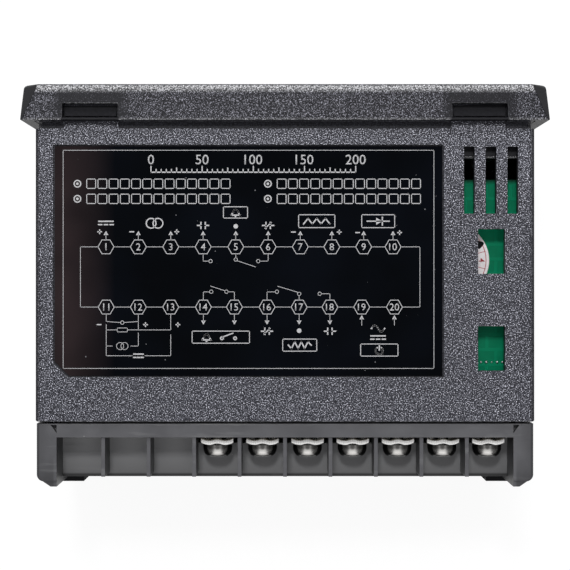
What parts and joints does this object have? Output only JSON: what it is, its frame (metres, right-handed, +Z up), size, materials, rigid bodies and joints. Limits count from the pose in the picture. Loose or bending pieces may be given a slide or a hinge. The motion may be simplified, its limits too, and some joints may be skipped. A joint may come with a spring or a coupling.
{
  "type": "temperature controller",
  "caption": "Panel-mount digital temperature controller: bezel with display window and keys, vented sleeve case with wiring label, and rear block of screw-clamp terminals.",
  "frame": {"origin": "centre of the panel cut-out, on the bezel's rear face", "axes": "+X along the width, to the right seen from the front; +Y from the front to the rear, into the panel; +Z up, to the label side"},
  "size_m": [0.096, 0.075, 0.048],
  "materials": {
    "housing": "spark-textured dark grey flame-retardant plastic",
    "smoked_window": "smoked clear plastic, polished",
    "label_film": "gloss black film with light grey print",
    "circuit_board": "green solder mask",
    "plated_steel": "bright nickel plate",
    "display_body": "black display face",
    "lamp_body": "diffused red lamp",
    "black_moulding": "black moulding",
    "sticker_paper": "white paper",
    "relay_cover": "blue relay cover",
    "ferrite": "dark grey ferrite",
    "winding_tape": "yellow winding tape",
    "capacitor_can": "black sleeve on an aluminium can",
    "block_moulding": "satin grey plastic",
    "plated_brass": "plated brass",
    "key_cap": "grey soft-touch key"
  },
  "bodies": {
    "controller": {"bezel": "housing", "display_window": "smoked_window", "case": "housing", "wiring_label": "label_film", "display_board": "circuit_board", "board_screws": "plated_steel", "pv_display": "display_body", "sv_display": "display_body", "indicator_lamps": "lamp_body", "key_switches": "black_moulding", "upper_board": "circuit_board", "lower_board": "circuit_board", "quality_sticker": "sticker_paper", "board_headers": "black_moulding", "relays": "relay_cover", "transformer_core": "ferrite", "transformer_bobbin": "winding_tape", "capacitors": "capacitor_can", "integrated_circuits": "black_moulding", "terminal_block": "block_moulding", "upper_contacts": "plated_brass", "lower_contacts": "plated_brass"},
    "key_set_body": {"key_set": "key_cap"},
    "key_shift_body": {"key_shift": "key_cap"},
    "key_down_body": {"key_down": "key_cap"},
    "key_up_body": {"key_up": "key_cap"},
    "clamp_04": {"clamp_plate_04": "plated_steel"},
    "screw_04": {"terminal_screw_04": "plated_steel"},
    "clamp_05": {"clamp_plate_05": "plated_steel"},
    "screw_05": {"terminal_screw_05": "plated_steel"},
    "clamp_06": {"clamp_plate_06": "plated_steel"},
    "screw_06": {"terminal_screw_06": "plated_steel"},
    "clamp_07": {"clamp_plate_07": "plated_steel"},
    "screw_07": {"terminal_screw_07": "plated_steel"},
    "clamp_08": {"clamp_plate_08": "plated_steel"},
    "screw_08": {"terminal_screw_08": "plated_steel"},
    "clamp_09": {"clamp_plate_09": "plated_steel"},
    "screw_09": {"terminal_screw_09": "plated_steel"},
    "clamp_10": {"clamp_plate_10": "plated_steel"},
    "screw_10": {"terminal_screw_10": "plated_steel"},
    "clamp_11": {"clamp_plate_11": "plated_steel"},
    "screw_11": {"terminal_screw_11": "plated_steel"},
    "clamp_12": {"clamp_plate_12": "plated_steel"},
    "screw_12": {"terminal_screw_12": "plated_steel"},
    "clamp_13": {"clamp_plate_13": "plated_steel"},
    "screw_13": {"terminal_screw_13": "plated_steel"},
    "clamp_14": {"clamp_plate_14": "plated_steel"},
    "screw_14": {"terminal_screw_14": "plated_steel"},
    "clamp_15": {"clamp_plate_15": "plated_steel"},
    "screw_15": {"terminal_screw_15": "plated_steel"},
    "clamp_16": {"clamp_plate_16": "plated_steel"},
    "screw_16": {"terminal_screw_16": "plated_steel"},
    "clamp_17": {"clamp_plate_17": "plated_steel"},
    "screw_17": {"terminal_screw_17": "plated_steel"},
    "clamp_18": {"clamp_plate_18": "plated_steel"},
    "screw_18": {"terminal_screw_18": "plated_steel"},
    "clamp_19": {"clamp_plate_19": "plated_steel"},
    "screw_19": {"terminal_screw_19": "plated_steel"},
    "clamp_20": {"clamp_plate_20": "plated_steel"},
    "screw_20": {"terminal_screw_20": "plated_steel"}
  },
  "joints": [
    {"name": "key_set_press", "type": "slide", "parent": "controller", "child": "key_set_body", "axis": [0, 1, 0], "range_m": [0, 0.0005], "stiffness_N_per_m": 800, "springref_m": -0.0015},
    {"name": "key_shift_press", "type": "slide", "parent": "controller", "child": "key_shift_body", "axis": [0, 1, 0], "range_m": [0, 0.0005], "stiffness_N_per_m": 800, "springref_m": -0.0015},
    {"name": "key_down_press", "type": "slide", "parent": "controller", "child": "key_down_body", "axis": [0, 1, 0], "range_m": [0, 0.0005], "stiffness_N_per_m": 800, "springref_m": -0.0015},
    {"name": "key_up_press", "type": "slide", "parent": "controller", "child": "key_up_body", "axis": [0, 1, 0], "range_m": [0, 0.0005], "stiffness_N_per_m": 800, "springref_m": -0.0015},
    {"name": "clamp_04_slide", "type": "slide", "parent": "controller", "child": "clamp_04", "axis": [0, 1, 0], "range_m": [-0.0009, 0.0022]},
    {"name": "screw_04_turn", "type": "hinge", "parent": "clamp_04", "child": "screw_04", "pos_m": [0.01245, 0.0614, 0.0165], "axis": [0, 1, 0], "range_deg": [-648.1, 1584.1]},
    {"name": "clamp_05_slide", "type": "slide", "parent": "controller", "child": "clamp_05", "axis": [0, 1, 0], "range_m": [-0.0009, 0.0022]},
    {"name": "screw_05_turn", "type": "hinge", "parent": "clamp_05", "child": "screw_05", "pos_m": [0.00415, 0.0614, 0.0165], "axis": [0, 1, 0], "range_deg": [-648.1, 1584.1]},
    {"name": "clamp_06_slide", "type": "slide", "parent": "controller", "child": "clamp_06", "axis": [0, 1, 0], "range_m": [-0.0009, 0.0022]},
    {"name": "screw_06_turn", "type": "hinge", "parent": "clamp_06", "child": "screw_06", "pos_m": [-0.00415, 0.0614, 0.0165], "axis": [0, 1, 0], "range_deg": [-648.1, 1584.1]},
    {"name": "clamp_07_slide", "type": "slide", "parent": "controller", "child": "clamp_07", "axis": [0, 1, 0], "range_m": [-0.0009, 0.0022]},
    {"name": "screw_07_turn", "type": "hinge", "parent": "clamp_07", "child": "screw_07", "pos_m": [-0.01245, 0.0614, 0.0165], "axis": [0, 1, 0], "range_deg": [-648.1, 1584.1]},
    {"name": "clamp_08_slide", "type": "slide", "parent": "controller", "child": "clamp_08", "axis": [0, 1, 0], "range_m": [-0.0009, 0.0022]},
    {"name": "screw_08_turn", "type": "hinge", "parent": "clamp_08", "child": "screw_08", "pos_m": [-0.02075, 0.0614, 0.0165], "axis": [0, 1, 0], "range_deg": [-648.1, 1584.1]},
    {"name": "clamp_09_slide", "type": "slide", "parent": "controller", "child": "clamp_09", "axis": [0, 1, 0], "range_m": [-0.0009, 0.0022]},
    {"name": "screw_09_turn", "type": "hinge", "parent": "clamp_09", "child": "screw_09", "pos_m": [-0.02905, 0.0614, 0.0165], "axis": [0, 1, 0], "range_deg": [-648.1, 1584.1]},
    {"name": "clamp_10_slide", "type": "slide", "parent": "controller", "child": "clamp_10", "axis": [0, 1, 0], "range_m": [-0.0009, 0.0022]},
    {"name": "screw_10_turn", "type": "hinge", "parent": "clamp_10", "child": "screw_10", "pos_m": [-0.03735, 0.0614, 0.0165], "axis": [0, 1, 0], "range_deg": [-648.1, 1584.1]},
    {"name": "clamp_11_slide", "type": "slide", "parent": "controller", "child": "clamp_11", "axis": [0, 1, 0], "range_m": [-0.0009, 0.0022]},
    {"name": "screw_11_turn", "type": "hinge", "parent": "clamp_11", "child": "screw_11", "pos_m": [0.03735, 0.0614, -0.0165], "axis": [0, 1, 0], "range_deg": [-648.1, 1584.1]},
    {"name": "clamp_12_slide", "type": "slide", "parent": "controller", "child": "clamp_12", "axis": [0, 1, 0], "range_m": [-0.0009, 0.0022]},
    {"name": "screw_12_turn", "type": "hinge", "parent": "clamp_12", "child": "screw_12", "pos_m": [0.02905, 0.0614, -0.0165], "axis": [0, 1, 0], "range_deg": [-648.1, 1584.1]},
    {"name": "clamp_13_slide", "type": "slide", "parent": "controller", "child": "clamp_13", "axis": [0, 1, 0], "range_m": [-0.0009, 0.0022]},
    {"name": "screw_13_turn", "type": "hinge", "parent": "clamp_13", "child": "screw_13", "pos_m": [0.02075, 0.0614, -0.0165], "axis": [0, 1, 0], "range_deg": [-648.1, 1584.1]},
    {"name": "clamp_14_slide", "type": "slide", "parent": "controller", "child": "clamp_14", "axis": [0, 1, 0], "range_m": [-0.0009, 0.0022]},
    {"name": "screw_14_turn", "type": "hinge", "parent": "clamp_14", "child": "screw_14", "pos_m": [0.01245, 0.0614, -0.0165], "axis": [0, 1, 0], "range_deg": [-648.1, 1584.1]},
    {"name": "clamp_15_slide", "type": "slide", "parent": "controller", "child": "clamp_15", "axis": [0, 1, 0], "range_m": [-0.0009, 0.0022]},
    {"name": "screw_15_turn", "type": "hinge", "parent": "clamp_15", "child": "screw_15", "pos_m": [0.00415, 0.0614, -0.0165], "axis": [0, 1, 0], "range_deg": [-648.1, 1584.1]},
    {"name": "clamp_16_slide", "type": "slide", "parent": "controller", "child": "clamp_16", "axis": [0, 1, 0], "range_m": [-0.0009, 0.0022]},
    {"name": "screw_16_turn", "type": "hinge", "parent": "clamp_16", "child": "screw_16", "pos_m": [-0.00415, 0.0614, -0.0165], "axis": [0, 1, 0], "range_deg": [-648.1, 1584.1]},
    {"name": "clamp_17_slide", "type": "slide", "parent": "controller", "child": "clamp_17", "axis": [0, 1, 0], "range_m": [-0.0009, 0.0022]},
    {"name": "screw_17_turn", "type": "hinge", "parent": "clamp_17", "child": "screw_17", "pos_m": [-0.01245, 0.0614, -0.0165], "axis": [0, 1, 0], "range_deg": [-648.1, 1584.1]},
    {"name": "clamp_18_slide", "type": "slide", "parent": "controller", "child": "clamp_18", "axis": [0, 1, 0], "range_m": [-0.0009, 0.0022]},
    {"name": "screw_18_turn", "type": "hinge", "parent": "clamp_18", "child": "screw_18", "pos_m": [-0.02075, 0.0614, -0.0165], "axis": [0, 1, 0], "range_deg": [-648.1, 1584.1]},
    {"name": "clamp_19_slide", "type": "slide", "parent": "controller", "child": "clamp_19", "axis": [0, 1, 0], "range_m": [-0.0009, 0.0022]},
    {"name": "screw_19_turn", "type": "hinge", "parent": "clamp_19", "child": "screw_19", "pos_m": [-0.02905, 0.0614, -0.0165], "axis": [0, 1, 0], "range_deg": [-648.1, 1584.1]},
    {"name": "clamp_20_slide", "type": "slide", "parent": "controller", "child": "clamp_20", "axis": [0, 1, 0], "range_m": [-0.0009, 0.0022]},
    {"name": "screw_20_turn", "type": "hinge", "parent": "clamp_20", "child": "screw_20", "pos_m": [-0.03735, 0.0614, -0.0165], "axis": [0, 1, 0], "range_deg": [-648.1, 1584.1]}
  ],
  "couplings": [
    {"joint": "screw_04_turn", "follows": "clamp_04_slide", "rad_per_m": 12566},
    {"joint": "screw_05_turn", "follows": "clamp_05_slide", "rad_per_m": 12566},
    {"joint": "screw_06_turn", "follows": "clamp_06_slide", "rad_per_m": 12566},
    {"joint": "screw_07_turn", "follows": "clamp_07_slide", "rad_per_m": 12566},
    {"joint": "screw_08_turn", "follows": "clamp_08_slide", "rad_per_m": 12566},
    {"joint": "screw_09_turn", "follows": "clamp_09_slide", "rad_per_m": 12566},
    {"joint": "screw_10_turn", "follows": "clamp_10_slide", "rad_per_m": 12566},
    {"joint": "screw_11_turn", "follows": "clamp_11_slide", "rad_per_m": 12566},
    {"joint": "screw_12_turn", "follows": "clamp_12_slide", "rad_per_m": 12566},
    {"joint": "screw_13_turn", "follows": "clamp_13_slide", "rad_per_m": 12566},
    {"joint": "screw_14_turn", "follows": "clamp_14_slide", "rad_per_m": 12566},
    {"joint": "screw_15_turn", "follows": "clamp_15_slide", "rad_per_m": 12566},
    {"joint": "screw_16_turn", "follows": "clamp_16_slide", "rad_per_m": 12566},
    {"joint": "screw_17_turn", "follows": "clamp_17_slide", "rad_per_m": 12566},
    {"joint": "screw_18_turn", "follows": "clamp_18_slide", "rad_per_m": 12566},
    {"joint": "screw_19_turn", "follows": "clamp_19_slide", "rad_per_m": 12566},
    {"joint": "screw_20_turn", "follows": "clamp_20_slide", "rad_per_m": 12566}
  ]
}
